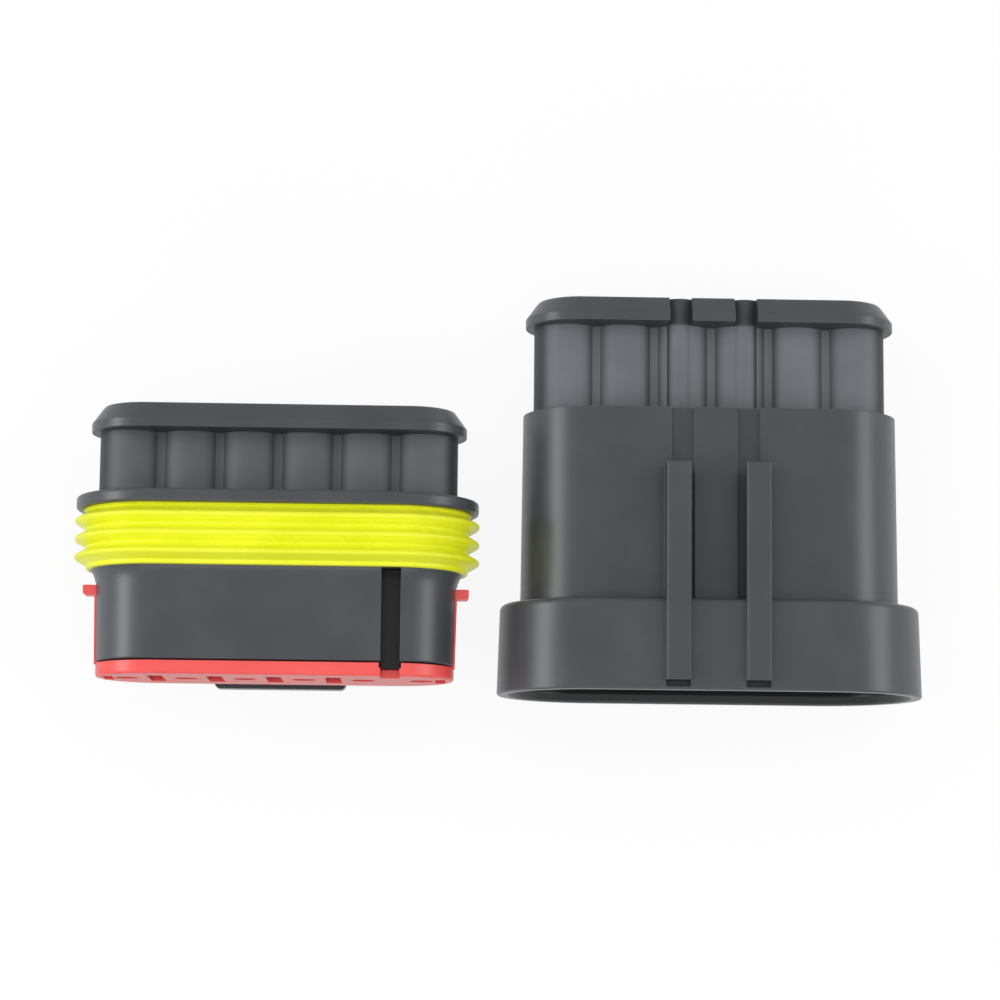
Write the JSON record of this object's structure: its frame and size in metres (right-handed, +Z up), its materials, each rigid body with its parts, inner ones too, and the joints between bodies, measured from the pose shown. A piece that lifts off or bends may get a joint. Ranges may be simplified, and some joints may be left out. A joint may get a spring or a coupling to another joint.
{
  "type": "sealed automotive connector",
  "caption": "Sealed wire-to-wire connector pair: a plug half with ring seal and latch lever beside the cap half with its bell, single row, sliding lock plates.",
  "frame": {"origin": "centre of the underside of the box round both halves, at the level of the surface they lie on", "axes": "+X from the plug half to the cap half, along the rows of contacts; +Y along the mating axis, towards the wires; +Z up"},
  "size_m": [0.0874, 0.0412, 0.0221],
  "materials": {
    "housing": "satin glass-filled nylon",
    "silicone": "moulded silicone",
    "lock": "satin polyester",
    "contact": "tin-plated"
  },
  "bodies": {
    "housings": {"plug_housing": "housing", "plug_seal": "silicone", "cap_housing": "housing", "plug_terminal_1": "contact", "plug_terminal_2": "contact", "plug_terminal_3": "contact", "plug_terminal_4": "contact", "plug_terminal_5": "contact", "plug_terminal_6": "contact", "cap_terminal_1": "contact", "cap_terminal_2": "contact", "cap_terminal_3": "contact", "cap_terminal_4": "contact", "cap_terminal_5": "contact", "cap_terminal_6": "contact", "plug_wire_seal_1": "silicone", "plug_wire_seal_2": "silicone", "plug_wire_seal_3": "silicone", "plug_wire_seal_4": "silicone", "plug_wire_seal_5": "silicone", "plug_wire_seal_6": "silicone", "cap_wire_seal_1": "silicone", "cap_wire_seal_2": "silicone", "cap_wire_seal_3": "silicone", "cap_wire_seal_4": "silicone", "cap_wire_seal_5": "silicone", "cap_wire_seal_6": "silicone"},
    "plug_lock": {"plug_lock": "lock"},
    "cap_lock": {"cap_lock": "lock"}
  },
  "joints": [
    {"name": "plug_lock_slide", "type": "slide", "parent": "housings", "child": "plug_lock", "axis": [0, -1, 0], "range_m": [0, 0.002]},
    {"name": "cap_lock_slide", "type": "slide", "parent": "housings", "child": "cap_lock", "axis": [0, -1, 0], "range_m": [0, 0.002]}
  ]
}
